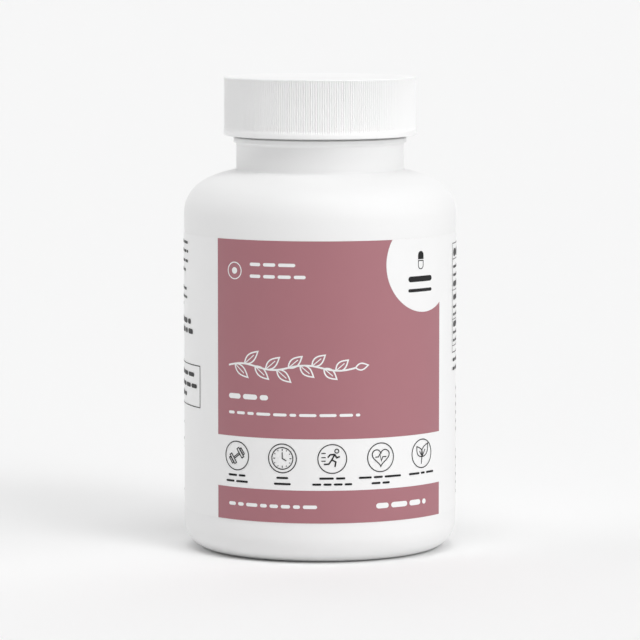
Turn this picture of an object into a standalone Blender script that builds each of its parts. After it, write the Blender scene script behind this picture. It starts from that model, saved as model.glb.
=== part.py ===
"""Wide-mouth plastic bottle of capsules, with a ribbed screw cap and a wrap-around label.

Units are metres and +Z is up. The origin is the middle of the foot, on the surface the bottle stands on.
The middle of the label's front faces -Y. The finish (lip, thread and bead) is a 38 mm single-start
continuous thread, and the cap runs on it with clearance all round.
"""
import math
import random

import bmesh
import bpy
import numpy as np
from mathutils import Matrix, Vector

# --- Bottle body ---
BODY_RADIUS = 0.0294
BODY_STRAIGHT_TOP = 0.07255     # height where the straight side ends and the shoulder begins
BODY_WALL = 0.00105             # wall behind the label, the thinnest place
HEEL_RADIUS = 0.0058
HEEL_BORE_RADIUS = 0.00375      # inside the heel, tighter so that the corner holds more
FOOT_WIDTH = 0.0040             # flat ring that the bottle stands on
PUSH_UP = 0.0026                # how far the middle of the base is domed up
PUSH_UP_STEP = 0.0012           # height of the steep ring just inside the foot
SHOULDER_RADIUS = 0.0078        # lower, tighter arc of the shoulder
SHOULDER_TURN = math.radians(60)  # how far the lower arc turns before the flatter one takes over
SHOULDER_TOP_RADIUS = 0.021
SHOULDER_LEAST_SLOPE = math.radians(8)  # a wide shoulder goes on to the neck as a cone of this slope

# --- Label and the shallow panel it sits in ---
LABEL_THICKNESS = 0.0002
LABEL_PROUD = 0.0001            # how far the label's face stands out of the body
LABEL_TOP_MARGIN = 0.00405      # from the label's top edge to the end of the straight side
LABEL_BOTTOM_MARGIN = 0.0031    # from the top of the heel to the label's bottom edge
LABEL_SEAM_GAP = 0.0006
PANEL_MARGIN = 0.0004           # the panel is taller than the label by this, at each edge

# --- Neck and finish ---
THREAD_RADIUS = 0.0187          # over the thread's crest
THREAD_DEPTH = 0.00125
THREAD_PITCH = 0.004233         # six turns to the inch
THREAD_TURNS = 1.25
THREAD_START = math.radians(20)  # round from +X to the lower end of the bottle's thread
THREAD_ROOT_WIDTH = 0.0022
THREAD_CREST_WIDTH = 0.0010
THREAD_TOP_MARGIN = 0.0022      # from the lip down to the middle of the thread's upper end
NECK_STEP = 0.00062             # plain neck is this much smaller in radius than the thread
NECK_HEIGHT = 0.0057            # plain neck, from the shoulder up to the bead
NECK_FILLET = 0.0005
BEAD_DEPTH = 0.0006
BEAD_HEIGHT = 0.00135
BEAD_ROUND = 0.0003
FINISH_HEIGHT = 0.0096          # from the top of the bead to the lip
FINISH_WALL = 0.00145
LIP_CHAMFER = 0.0004

# --- Cap ---
CAP_SKIRT_WALL = 0.00135
CAP_TOP_WALL = 0.0015
CAP_SKIRT_GAP = 0.0004          # between the bead and the bottom of the skirt
CAP_CHAMFER = 0.0002
CAP_CROWN_HEIGHT = 0.0003       # plain band above the ribs
CAP_BAND_HEIGHT = 0.0016        # plain band below the ribs, with the rim
CAP_RIM_HEIGHT = 0.0013         # the rim, the lower and slightly wider part of that band
CAP_RIM_STEP = 0.00006
CAP_RIB_COUNT = 257
CAP_RIB_DEPTH = 0.00023
CAP_RIB_INSET = 0.00003         # ribs lie this far inside the plain bands
CAP_THREAD_DEPTH = 0.0012
CAP_THREAD_ROOT_WIDTH = 0.0018
CAP_THREAD_CREST_WIDTH = 0.0009
CAP_THREAD_TURNS = 1.2
CAP_THREAD_DROP = 0.00185       # cap's thread runs this far below the bottle's
CAP_THREAD_MARGIN = 0.0014      # from the bottom of the skirt to the middle of the lower end

# --- Seals ---
LINER_THICKNESS = 0.0008
SEAL_THICKNESS = 0.0002
THREAD_CLEARANCE = 0.0004       # radial, between the two threads' crests and roots
FACE_GAP = 0.0003               # between pieces that touch or lie on each other

# --- Contents ---
CAPSULE_COUNT = 53
CAPSULE_LENGTH = 0.0217
CAPSULE_CAP_RADIUS = 0.00382
CAPSULE_SHELL_STEP = 0.00015    # the body half is this much smaller in radius than the cap half
CAPSULE_CAP_LENGTH = 0.0107
CAPSULE_TILT = math.radians(14)
CANISTER_RADIUS = 0.0063
CANISTER_LENGTH = 0.0158
CANISTER_WALL = 0.0009
CANISTER_LID_DEPTH = 0.0016
VENT_RADIUS = 0.0007
VENT_RING_RADIUS = 0.0031
VENT_COUNT = 6
FILL_SEED = 7
FILL_TRIES = 120                # places tried for each piece
FILL_SHAKES = 400               # small moves tried after that, to settle it lower
FILL_STEP = 0.0004              # height step used when a piece is let down on the others
SHAKE_DISTANCE = 0.003
SHAKE_TILT = 0.25

# --- Fineness ---
BODY_STEPS = 48
CAP_STEPS = 64
CAPSULE_STEPS = 7
CANISTER_STEPS = 20
THREAD_STEPS_PER_TURN = 35      # shares no step angle with the walls
THREAD_RUNOUT = 0.12            # turns over which each end of a thread fades into its wall
THREAD_BURIED = 0.0002          # how far a thread's root is sunk in the wall that carries it
MERGE = 0.00001

# --- Sizes that follow from the ones above ---
PANEL_RADIUS = BODY_RADIUS + LABEL_PROUD - LABEL_THICKNESS - FACE_GAP
BODY_BORE = PANEL_RADIUS - BODY_WALL
FOOT_OUTER = BODY_RADIUS - HEEL_RADIUS
FOOT_INNER = FOOT_OUTER - FOOT_WIDTH
LABEL_BOTTOM = HEEL_RADIUS + LABEL_BOTTOM_MARGIN
LABEL_TOP = BODY_STRAIGHT_TOP - LABEL_TOP_MARGIN
FINISH_ROOT = THREAD_RADIUS - THREAD_DEPTH
NECK_BORE = FINISH_ROOT - FINISH_WALL
NECK_RADIUS = THREAD_RADIUS - NECK_STEP
SHOULDER_CENTER_R = BODY_RADIUS - SHOULDER_RADIUS
SHOULDER_TOP_CENTER_R = SHOULDER_CENTER_R - (SHOULDER_TOP_RADIUS - SHOULDER_RADIUS) * math.cos(SHOULDER_TURN)
SHOULDER_TOP_CENTER_Z = BODY_STRAIGHT_TOP - (SHOULDER_TOP_RADIUS - SHOULDER_RADIUS) * math.sin(SHOULDER_TURN)
NECK_SPAN = min(1.0, (NECK_RADIUS - SHOULDER_TOP_CENTER_R) / SHOULDER_TOP_RADIUS)
SHOULDER_END = min(math.acos(max(NECK_SPAN, 0.0)), math.pi / 2 - SHOULDER_LEAST_SLOPE)
SHOULDER_END_R = SHOULDER_TOP_CENTER_R + SHOULDER_TOP_RADIUS * math.cos(SHOULDER_END)
SHOULDER_END_Z = SHOULDER_TOP_CENTER_Z + SHOULDER_TOP_RADIUS * math.sin(SHOULDER_END)
NECK_FOOT_Z = SHOULDER_END_Z + (SHOULDER_END_R - NECK_RADIUS) * math.tan(SHOULDER_LEAST_SLOPE)
BEAD_BOTTOM = NECK_FOOT_Z + NECK_HEIGHT
BEAD_TOP = BEAD_BOTTOM + BEAD_HEIGHT
LIP_Z = BEAD_TOP + FINISH_HEIGHT
SEAL_BOTTOM = LIP_Z + FACE_GAP
SEAL_TOP = SEAL_BOTTOM + SEAL_THICKNESS
LINER_BOTTOM = SEAL_TOP + FACE_GAP
LINER_TOP = LINER_BOTTOM + LINER_THICKNESS
CAP_INNER_TOP = LINER_TOP + FACE_GAP
CAP_TOP = CAP_INNER_TOP + CAP_TOP_WALL
CAP_BOTTOM = BEAD_TOP + CAP_SKIRT_GAP
CAP_BORE = THREAD_RADIUS + THREAD_CLEARANCE
CAP_RIB_CREST = CAP_BORE + CAP_SKIRT_WALL + CAP_RIB_DEPTH
CAP_BAND_RADIUS = CAP_RIB_CREST + CAP_RIB_INSET
CAP_RADIUS = CAP_BAND_RADIUS + CAP_RIM_STEP
THREAD_TOP_Z = LIP_Z - THREAD_TOP_MARGIN
THREAD_BOTTOM_Z = THREAD_TOP_Z - THREAD_TURNS * THREAD_PITCH
BASE_WALL = BODY_WALL
FLOOR_Z = PUSH_UP + BASE_WALL
SHOULDER_WALL = BODY_RADIUS - BODY_BORE
CAPSULE_BODY_RADIUS = CAPSULE_CAP_RADIUS - CAPSULE_SHELL_STEP


def clear_scene():
    for obj in list(bpy.data.objects):
        bpy.data.objects.remove(obj, do_unlink=True)


def new_collection(name):
    collection = bpy.data.collections.new(name)
    bpy.context.scene.collection.children.link(collection)
    return collection


def new_material(name, color, roughness, metallic=0.0):
    material = bpy.data.materials.new(name)
    material.use_nodes = True
    shader = material.node_tree.nodes["Principled BSDF"]
    shader.inputs["Base Color"].default_value = (*color, 1.0)
    shader.inputs["Roughness"].default_value = roughness
    shader.inputs["Metallic"].default_value = metallic
    return material


def new_object(name, mesh, collection, material=None):
    obj = bpy.data.objects.new(name, mesh)
    collection.objects.link(obj)
    if material and not mesh.materials:
        mesh.materials.append(material)
    return obj


def hide_cutter(obj):
    obj.hide_render = True
    obj.display_type = "WIRE"


def arc(center_r, center_z, radius, start, end, count):
    """Points (r, z) on an arc, from angle start to angle end in radians, both ends included."""
    angles = [start + (end - start) * i / count for i in range(count + 1)]
    return [(center_r + radius * math.cos(a), center_z + radius * math.sin(a)) for a in angles]


def profile_mesh(name, profile):
    mesh = bpy.data.meshes.new(name)
    vertices = [(r, 0.0, z) for r, z in profile]
    mesh.from_pydata(vertices, [(i, i + 1) for i in range(len(vertices) - 1)], [])
    return mesh


def add_turn(obj, steps, angle=2 * math.pi):
    screw = obj.modifiers.new("Turn", "SCREW")
    screw.angle = angle
    screw.steps = steps
    screw.render_steps = steps
    screw.use_merge_vertices = True
    screw.merge_threshold = MERGE
    screw.use_smooth_shade = True


def turned(name, profile, steps, collection, material=None):
    """A solid of revolution. The profile's ends are on the axis, and its outer side runs downwards."""
    obj = new_object(name, profile_mesh(name, profile), collection, material)
    add_turn(obj, steps)
    return obj


def add_boolean(obj, operation, other):
    boolean = obj.modifiers.new(operation.title(), "BOOLEAN")
    boolean.operation = operation
    boolean.solver = "EXACT"
    boolean.object = other
    hide_cutter(other)


def thread_ridge(name, wall_radius, crest_radius, root_width, crest_width, low_z, turns, collection):
    """A helical ridge of trapezoid section. It stands out of the wall, or into the bore when the crest
    is smaller than the wall, and both of its ends fade into the wall."""
    outward = 1 if crest_radius > wall_radius else -1
    buried_radius = wall_radius - outward * THREAD_BURIED
    steps = round(turns * THREAD_STEPS_PER_TURN)
    bm = bmesh.new()
    corners = [(buried_radius, -root_width / 2), (crest_radius, -crest_width / 2),
               (crest_radius, crest_width / 2), (buried_radius, root_width / 2)]
    face = bm.faces.new([bm.verts.new((r, 0.0, low_z + z)) for r, z in corners])
    bmesh.ops.spin(bm, geom=[face, *face.edges, *face.verts], cent=(0, 0, 0), axis=(0, 0, 1),
                   dvec=(0, 0, turns * THREAD_PITCH / steps), angle=turns * 2 * math.pi, steps=steps)
    for vertex in bm.verts:
        radius = math.hypot(vertex.co.x, vertex.co.y)
        part_turn = math.atan2(vertex.co.y, vertex.co.x) / (2 * math.pi)
        turn = part_turn + round((vertex.co.z - low_z) / THREAD_PITCH - part_turn)
        fade = min(1.0, max(0.0, min(turn, turns - turn) / THREAD_RUNOUT))
        if abs(radius - crest_radius) < abs(radius - buried_radius):
            faded_radius = buried_radius + (crest_radius - buried_radius) * (0.25 + 0.75 * fade)
            vertex.co.x *= faded_radius / radius
            vertex.co.y *= faded_radius / radius
    bmesh.ops.recalc_face_normals(bm, faces=bm.faces)
    mesh = bpy.data.meshes.new(name)
    bm.to_mesh(mesh)
    bm.free()
    return new_object(name, mesh, collection)


def shoulder_arcs(inward, steps):
    """The shoulder's two arcs from the neck down to the straight side, moved inwards by a wall."""
    low, high = steps
    upper = arc(SHOULDER_TOP_CENTER_R, SHOULDER_TOP_CENTER_Z, SHOULDER_TOP_RADIUS - inward,
                SHOULDER_END, SHOULDER_TURN, high)
    lower = arc(SHOULDER_CENTER_R, BODY_STRAIGHT_TOP, SHOULDER_RADIUS - inward, SHOULDER_TURN, 0, low)
    return upper + lower[1:]


def bottle_outer_profile():
    """From the lip down the outside to the middle of the base."""
    bead_radius = NECK_RADIUS + BEAD_DEPTH
    panel_top = LABEL_TOP + PANEL_MARGIN
    panel_bottom = LABEL_BOTTOM - PANEL_MARGIN
    step = BODY_RADIUS - PANEL_RADIUS
    points = [(FINISH_ROOT - LIP_CHAMFER, LIP_Z), (FINISH_ROOT, LIP_Z - LIP_CHAMFER),
              (FINISH_ROOT, BEAD_TOP)]
    points += [(bead_radius - BEAD_ROUND, BEAD_TOP), (bead_radius, BEAD_TOP - BEAD_ROUND),
               (bead_radius, BEAD_BOTTOM + BEAD_ROUND), (NECK_RADIUS, BEAD_BOTTOM)]
    points += [(NECK_RADIUS, NECK_FOOT_Z + NECK_FILLET)]
    points += [point for point in shoulder_arcs(0.0, (6, 3)) if point[0] > NECK_RADIUS + NECK_FILLET]
    points += [(BODY_RADIUS, panel_top + step), (PANEL_RADIUS, panel_top),
               (PANEL_RADIUS, panel_bottom), (BODY_RADIUS, panel_bottom - step)]
    points += arc(FOOT_OUTER, HEEL_RADIUS, HEEL_RADIUS, 0, -math.pi / 2, 5)
    points += [(FOOT_INNER, 0.0), (FOOT_INNER - PUSH_UP_STEP, PUSH_UP_STEP), (0.0, PUSH_UP)]
    return points


def bottle_inner_profile():
    """From the middle of the inside floor up the bore to the lip."""
    heel_center = BODY_BORE - HEEL_BORE_RADIUS
    step_r = FOOT_INNER - PUSH_UP_STEP
    neck_z = NECK_FOOT_Z - SHOULDER_WALL + (NECK_RADIUS - NECK_BORE) * math.tan(SHOULDER_LEAST_SLOPE)
    points = [(0.0, FLOOR_Z), (step_r, PUSH_UP_STEP + BASE_WALL), (FOOT_INNER, BASE_WALL)]
    points += arc(heel_center, BASE_WALL + HEEL_BORE_RADIUS, HEEL_BORE_RADIUS, -math.pi / 2, 0, 3)
    shoulder = shoulder_arcs(SHOULDER_WALL, (5, 3))
    points += [point for point in reversed(shoulder) if point[0] > NECK_BORE + FACE_GAP]
    points += [(NECK_BORE, neck_z), (NECK_BORE, LIP_Z)]
    return points


def build_bottle(parts, cutters):
    white = new_material("bottle_plastic", (0.86, 0.86, 0.86), 0.38)
    bottle = turned("bottle", bottle_inner_profile() + bottle_outer_profile(), BODY_STEPS, parts, white)
    ridge = thread_ridge("bottle_thread_ridge", FINISH_ROOT, THREAD_RADIUS, THREAD_ROOT_WIDTH,
                         THREAD_CREST_WIDTH, THREAD_BOTTOM_Z, THREAD_TURNS, cutters)
    ridge.rotation_euler.z = THREAD_START
    add_boolean(bottle, "UNION", ridge)
    return bottle


def build_label(parts):
    """An open band with its seam at the back, thickened outwards from its inner face."""
    paper = new_material("label_paper", (0.60, 0.32, 0.36), 0.5)
    radius = BODY_RADIUS + LABEL_PROUD - LABEL_THICKNESS
    gap_angle = LABEL_SEAM_GAP / radius
    band = [(radius, LABEL_TOP), (radius, LABEL_BOTTOM)]
    label = new_object("label", profile_mesh("label", band), parts, paper)
    add_turn(label, BODY_STEPS, 2 * math.pi - gap_angle)
    label.rotation_euler.z = math.pi / 2 + gap_angle / 2
    shell = label.modifiers.new("Thickness", "SOLIDIFY")
    shell.thickness = LABEL_THICKNESS
    shell.offset = 1.0
    shell.use_even_offset = True
    return label


def ribbed_sleeve(name, collection):
    """A short bar whose rim has one ridge for each rib, from the lower band up to the crown band."""
    low = CAP_BOTTOM + (CAP_BAND_HEIGHT + CAP_RIM_HEIGHT) / 2
    high = CAP_TOP - (CAP_CROWN_HEIGHT + CAP_CHAMFER) / 2
    bm = bmesh.new()
    bmesh.ops.create_cone(bm, cap_ends=True, segments=2 * CAP_RIB_COUNT, radius1=CAP_RIB_CREST,
                          radius2=CAP_RIB_CREST, depth=high - low,
                          matrix=Matrix.Translation((0, 0, (high + low) / 2)))
    valley = (CAP_RIB_CREST - CAP_RIB_DEPTH) / CAP_RIB_CREST
    for vertex in bm.verts:
        place = round(math.atan2(vertex.co.y, vertex.co.x) / (math.pi / CAP_RIB_COUNT))
        if place % 2:
            vertex.co.x *= valley
            vertex.co.y *= valley
    mesh = bpy.data.meshes.new(name)
    bm.to_mesh(mesh)
    bm.free()
    return new_object(name, mesh, collection)


def build_cap(parts, cutters):
    """The rim carries the ribs and the crown, the bore is cut out, and the thread is put back."""
    white = new_material("cap_plastic", (0.84, 0.84, 0.84), 0.45)
    band_top = CAP_BOTTOM + CAP_BAND_HEIGHT
    rim_top = CAP_BOTTOM + CAP_RIM_HEIGHT
    crown_bottom = CAP_TOP - CAP_CROWN_HEIGHT
    rim = [(0.0, band_top), (CAP_BAND_RADIUS, band_top), (CAP_BAND_RADIUS, rim_top),
           (CAP_RADIUS, rim_top - CAP_RIM_STEP), (CAP_RADIUS, CAP_BOTTOM + CAP_CHAMFER),
           (CAP_RADIUS - CAP_CHAMFER, CAP_BOTTOM), (0.0, CAP_BOTTOM)]
    crown = [(0.0, CAP_TOP), (CAP_BAND_RADIUS - CAP_CHAMFER, CAP_TOP),
             (CAP_BAND_RADIUS, CAP_TOP - CAP_CHAMFER), (CAP_BAND_RADIUS, crown_bottom), (0.0, crown_bottom)]
    bore = [(0.0, CAP_INNER_TOP), (CAP_BORE, CAP_INNER_TOP), (CAP_BORE, CAP_BOTTOM - CAP_SKIRT_GAP / 2),
            (0.0, CAP_BOTTOM - CAP_SKIRT_GAP / 2)]
    cap = turned("screw_cap", rim, CAP_STEPS, parts, white)
    add_boolean(cap, "UNION", ribbed_sleeve("cap_rib_bar", cutters))
    add_boolean(cap, "UNION", turned("cap_crown_band", crown, CAP_STEPS, cutters))
    add_boolean(cap, "DIFFERENCE", turned("cap_bore_cut", bore, CAP_STEPS, cutters))
    low_z = CAP_BOTTOM + CAP_THREAD_MARGIN
    start_turn = (low_z + CAP_THREAD_DROP - THREAD_BOTTOM_Z) / THREAD_PITCH
    ridge = thread_ridge("cap_thread_ridge", CAP_BORE, CAP_BORE - CAP_THREAD_DEPTH,
                         CAP_THREAD_ROOT_WIDTH, CAP_THREAD_CREST_WIDTH, low_z, CAP_THREAD_TURNS, cutters)
    ridge.rotation_euler.z = THREAD_START + start_turn * 2 * math.pi
    add_boolean(cap, "UNION", ridge)
    return cap


def disc(name, radius, bottom, top, collection, material):
    profile = [(0.0, top), (radius, top), (radius, bottom), (0.0, bottom)]
    return turned(name, profile, BODY_STEPS, collection, material)


def build_seals(parts):
    foil = new_material("seal_foil", (0.82, 0.83, 0.84), 0.3, 1.0)
    foam = new_material("liner_foam", (0.85, 0.85, 0.83), 0.8)
    disc("induction_seal", FINISH_ROOT, SEAL_BOTTOM, SEAL_TOP, parts, foil)
    liner_radius = CAP_BORE - THREAD_CLEARANCE
    disc("cap_liner", liner_radius, LINER_BOTTOM, LINER_TOP, parts, foam)


def segment_gap(center, axis, half, centers, axes, halves):
    """Distance between one straight line piece at many centres and many others, as a grid."""
    between = center[:, None, :] - centers[None, :, :]
    along = axes @ axis
    own = between @ axis
    other = np.einsum("ijk,jk->ij", between, axes)
    spread = np.maximum(1.0 - along ** 2, 1e-9)
    s = np.clip((along * other - own) / spread, -half, half)
    t = np.clip(along * s + other, -halves, halves)
    s = np.clip(along * t - own, -half, half)
    apart = between + s[..., None] * axis - t[..., None] * axes[None, :, :]
    return np.linalg.norm(apart, axis=2)


def random_direction(draw, tilt_limit):
    turn = draw.uniform(0, 2 * math.pi)
    tilt = draw.gauss(0, tilt_limit)
    return np.array([math.cos(turn) * math.cos(tilt), math.sin(turn) * math.cos(tilt), math.sin(tilt)])


def resting_height(placed, spot, axis, radius, half, below):
    """The lowest height at which a round-ended rod at this spot is clear of all others, or None."""
    reach = BODY_BORE - radius - FACE_GAP
    if max(math.hypot(*(spot + sign * half * axis)[:2]) for sign in (-1, 1)) > reach:
        return None
    low = FLOOR_Z + FACE_GAP + radius + half * abs(axis[2])
    levels = np.arange(low, below, FILL_STEP)
    if not len(levels):
        return None
    free = np.ones(len(levels), dtype=bool)
    if placed:
        grid = np.tile(spot, (len(levels), 1))
        grid[:, 2] = levels
        centers, axes, halves, radii = (np.array(column) for column in zip(*placed))
        gaps = segment_gap(grid, axis, half, centers, axes, halves) - radii - radius
        free = gaps.min(axis=1) > FACE_GAP
    return levels[np.argmax(free)] if free.any() else None


def let_down(draw, placed, radius, half, tilt_limit):
    """Tries random places inside the bottle, keeps the lowest, and shakes it to settle it lower still."""
    reach = BODY_BORE - radius - FACE_GAP
    best_height, best_spot, best_axis = BODY_STRAIGHT_TOP, None, None
    for number in range(FILL_TRIES + FILL_SHAKES):
        if number < FILL_TRIES or best_spot is None:
            out = reach * math.sqrt(draw.random())
            where = draw.uniform(0, 2 * math.pi)
            spot = np.array([out * math.cos(where), out * math.sin(where), 0.0])
            axis = random_direction(draw, tilt_limit)
        else:
            shift = [draw.gauss(0, SHAKE_DISTANCE), draw.gauss(0, SHAKE_DISTANCE), 0.0]
            turn = [draw.gauss(0, SHAKE_TILT), draw.gauss(0, SHAKE_TILT), draw.gauss(0, tilt_limit)]
            spot = best_spot + np.array(shift)
            axis = best_axis + np.array(turn)
            axis /= np.linalg.norm(axis)
        height = resting_height(placed, spot, axis, radius, half, best_height)
        if height is not None:
            best_height, best_spot, best_axis = height, spot, axis
    return best_spot + np.array([0.0, 0.0, best_height]), best_axis


def fill_bottle():
    """Places for the capsules and then for the canister: (centre, direction) each."""
    draw = random.Random(FILL_SEED)
    half = CAPSULE_LENGTH / 2 - CAPSULE_CAP_RADIUS
    placed = []
    for _ in range(CAPSULE_COUNT):
        center, axis = let_down(draw, placed, CAPSULE_CAP_RADIUS, half, CAPSULE_TILT)
        placed.append((center, axis, half, CAPSULE_CAP_RADIUS))
    canister = let_down(draw, placed, CANISTER_RADIUS, CANISTER_LENGTH / 2, 0.0)
    return [item[:2] for item in placed], canister


def aim(obj, center, axis):
    """Puts a turned piece's middle at the centre with its own +Z along the axis."""
    obj.location = Vector(center)
    obj.rotation_euler = Vector(axis).to_track_quat("Z", "Y").to_euler()


def capsule_profile():
    """A two-piece capsule: the wider cap on top slides over the body, and both ends are domes."""
    half = CAPSULE_LENGTH / 2
    rim_z = half - CAPSULE_CAP_LENGTH
    top = half - CAPSULE_CAP_RADIUS
    bottom = CAPSULE_BODY_RADIUS - half
    points = arc(0, top, CAPSULE_CAP_RADIUS, math.pi / 2, 0, 2)
    points += [(CAPSULE_CAP_RADIUS, rim_z), (CAPSULE_BODY_RADIUS, rim_z)]
    points += arc(0, bottom, CAPSULE_BODY_RADIUS, 0, -math.pi / 2, 2)
    points[0] = (0.0, half)
    points[-1] = (0.0, -half)
    return points


def build_capsules(parts, places):
    gelatine = new_material("capsule_shell", (0.80, 0.74, 0.70), 0.3)
    mesh = profile_mesh("capsule", capsule_profile())
    for number, (center, axis) in enumerate(places, start=1):
        capsule = new_object(f"capsule_{number:02d}", mesh, parts, gelatine)
        add_turn(capsule, CAPSULE_STEPS)
        aim(capsule, center, axis)


def build_canister(parts, cutters, place):
    """A cup with a vented lid pressed into its mouth."""
    plastic = new_material("canister_plastic", (0.85, 0.85, 0.86), 0.4)
    half = CANISTER_LENGTH / 2
    bore = CANISTER_RADIUS - CANISTER_WALL
    seat = half - CANISTER_LID_DEPTH
    cup_profile = [(0.0, CANISTER_WALL - half), (bore, CANISTER_WALL - half), (bore, half),
                   (CANISTER_RADIUS, half), (CANISTER_RADIUS, -half), (0.0, -half)]
    cup = turned("desiccant_cup", cup_profile, CANISTER_STEPS, parts, plastic)
    lid_radius = bore - FACE_GAP
    lid_profile = [(0.0, half), (lid_radius, half), (lid_radius, seat), (0.0, seat)]
    lid = turned("desiccant_lid", lid_profile, CANISTER_STEPS, parts, plastic)
    aim(cup, *place)
    aim(lid, *place)
    for number in range(VENT_COUNT):
        angle = 2 * math.pi * number / VENT_COUNT
        vent_profile = [(0.0, half + FACE_GAP), (VENT_RADIUS, half + FACE_GAP),
                        (VENT_RADIUS, seat - FACE_GAP), (0.0, seat - FACE_GAP)]
        vent = turned(f"vent_cut_{number + 1}", vent_profile, CAPSULE_STEPS, cutters)
        turn = Vector(place[1]).to_track_quat("Z", "Y").to_matrix().to_4x4()
        aside = Vector((VENT_RING_RADIUS * math.cos(angle), VENT_RING_RADIUS * math.sin(angle), 0.0))
        vent.matrix_world = Matrix.Translation(Vector(place[0])) @ turn @ Matrix.Translation(aside)
        add_boolean(lid, "DIFFERENCE", vent)


def main():
    clear_scene()
    parts = new_collection("capsule_bottle")
    cutters = new_collection("cutters")
    build_bottle(parts, cutters)
    build_label(parts)
    build_seals(parts)
    build_cap(parts, cutters)
    places, canister_place = fill_bottle()
    build_capsules(parts, places)
    build_canister(parts, cutters, canister_place)


main()
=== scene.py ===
"""Looks of the capsule bottle: fine surfaces, label print, materials, floor, light and camera.

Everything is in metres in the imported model's frame: +Z up, the origin in the middle of the foot, and
the middle of the label's front facing -Y. Angles round the bottle start at +X and grow towards +Y, but
those of the lamps start at the front and grow towards +X. The label's artwork is drawn flat in
millimetres, along and up the label, and then wrapped round it.
"""
import math
import random

import bmesh
import bpy
import numpy as np
from mathutils import Matrix, Vector


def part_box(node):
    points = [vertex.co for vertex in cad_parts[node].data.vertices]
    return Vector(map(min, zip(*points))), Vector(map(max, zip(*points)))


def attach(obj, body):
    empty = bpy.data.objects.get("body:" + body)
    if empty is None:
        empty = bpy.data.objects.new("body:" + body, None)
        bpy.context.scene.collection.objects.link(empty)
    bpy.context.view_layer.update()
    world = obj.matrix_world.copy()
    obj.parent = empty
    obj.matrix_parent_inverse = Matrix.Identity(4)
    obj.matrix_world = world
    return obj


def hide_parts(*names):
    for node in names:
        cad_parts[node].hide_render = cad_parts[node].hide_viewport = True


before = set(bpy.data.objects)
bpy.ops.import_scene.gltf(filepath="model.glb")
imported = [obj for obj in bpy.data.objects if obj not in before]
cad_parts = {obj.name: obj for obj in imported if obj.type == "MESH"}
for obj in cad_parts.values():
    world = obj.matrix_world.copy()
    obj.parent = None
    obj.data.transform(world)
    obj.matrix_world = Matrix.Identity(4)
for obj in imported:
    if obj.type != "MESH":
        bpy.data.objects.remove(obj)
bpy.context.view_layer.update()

MM = 0.001

# --- Sizes read from the frame ---
BODY_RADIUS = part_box("bottle")[1][0]
LIP_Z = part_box("bottle")[1][2]
LABEL_BOTTOM, LABEL_TOP = (corner[2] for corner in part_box("label"))
LABEL_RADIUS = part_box("label")[1][0]
CAP_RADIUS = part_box("screw_cap")[1][0]
CAP_BOTTOM, CAP_TOP = (corner[2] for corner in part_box("screw_cap"))
SEAL_BOTTOM, SEAL_TOP = (corner[2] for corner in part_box("induction_seal"))
SEAL_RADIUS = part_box("induction_seal")[1][0]
LINER_BOTTOM, LINER_TOP = (corner[2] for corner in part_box("cap_liner"))
LINER_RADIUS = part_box("cap_liner")[1][0]

# --- Bottle ---
SIDE_WALL = 0.00145
BASE_WALL = 0.00105
PANEL_DEPTH = 0.00006           # the label's panel lies this far inside the straight side
PANEL_MARGIN = 0.0003
PANEL_EDGE_SLOPE = 0.0006
HEEL_RADIUS = 0.0058
HEEL_BORE_RADIUS = 0.00375      # inside the heel, tighter so that the corner holds more
FOOT_WIDTH = 0.0040
FOOT_ROUND = 0.0006
PUSH_UP = 0.0026                # how far the middle of the base is domed up
PUSH_UP_STEP = 0.0012           # height of the steep ring just inside the foot
PUSH_UP_ROUND = 0.0008
INNER_FLOOR_ROUND = 0.0010
INNER_NECK_ROUND = 0.0005
STRAIGHT_TOP = 0.07255
SHOULDER_RADIUS = 0.0078
SHOULDER_TURN = 60              # degrees that the lower arc turns before the flatter one takes over
SHOULDER_TOP_RADIUS = 0.021
NECK_RADIUS = 0.01808
NECK_FILLET = 0.0005
BEAD_TOP = LIP_Z - 0.0096
BEAD_HEIGHT = 0.00135
BEAD_DEPTH = 0.0006
BEAD_ROUND = 0.0003
BEAD_FILLET = 0.0002            # where the wall under the thread meets the top of the bead
FINISH_ROOT = 0.01745
FINISH_WALL = 0.00145
LIP_ROUND = 0.0004
THREAD_PITCH = 0.004233
THREAD_TURNS = 1.25
THREAD_START = 20               # degrees from +X to the lower end of the bottle's thread
THREAD_CREST = 0.0187
THREAD_TOP_MARGIN = 0.0022
THREAD_ROOT_WIDTH = 0.0022
THREAD_CREST_WIDTH = 0.0010
THREAD_RUNOUT = 0.12            # turns over which each end of a thread fades
THREAD_END = 0.2                # how much of a thread's depth is left at its very end
THREAD_BURIED = 0.0002          # how far a thread's root is sunk in the wall that carries it

# --- Cap ---
CAP_TOP_WALL = 0.0015
CAP_THREAD_CLEARANCE = 0.0004
CAP_BORE = THREAD_CREST + CAP_THREAD_CLEARANCE
CAP_THREAD_DEPTH = 0.0012
CAP_EDGE = 0.0002
CAP_CROWN_HEIGHT = 0.0003
CAP_RIM_HEIGHT = 0.0013
CAP_RIM_STEP = 0.00006
RIB_COUNT = 257
RIB_DEPTH = 0.00024
RIB_INSET = 0.00003             # ribs lie this far inside the plain bands
RIB_SHARPNESS = 1.6             # above 1, the valleys between ribs are narrower than the ribs
RIB_COLUMNS = 6                 # points round each rib
RIB_TOP_END = 0.0002            # height over which each rib ends under the crown
RIB_FOOT = 0.0008               # from the bottom of the cap up to the end of the ribs
RIB_FOOT_END = 0.0010           # height over which each rib fades into the rim
RIB_AT_RIM = 0.55               # how much of a rib is left at the top of the rim
RIB_ON_RIM = 0.5                # and where the rim is widest
RIB_AT_CROWN = 0.3              # and just under the crown
CAP_THREAD_CREST = CAP_BORE - CAP_THREAD_DEPTH
CAP_THREAD_ROOT_WIDTH = 0.0018
CAP_THREAD_CREST_WIDTH = 0.0009
CAP_THREAD_TURNS = 1.2
CAP_THREAD_DROP = 0.00185       # cap's thread runs this far below the bottle's
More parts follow.
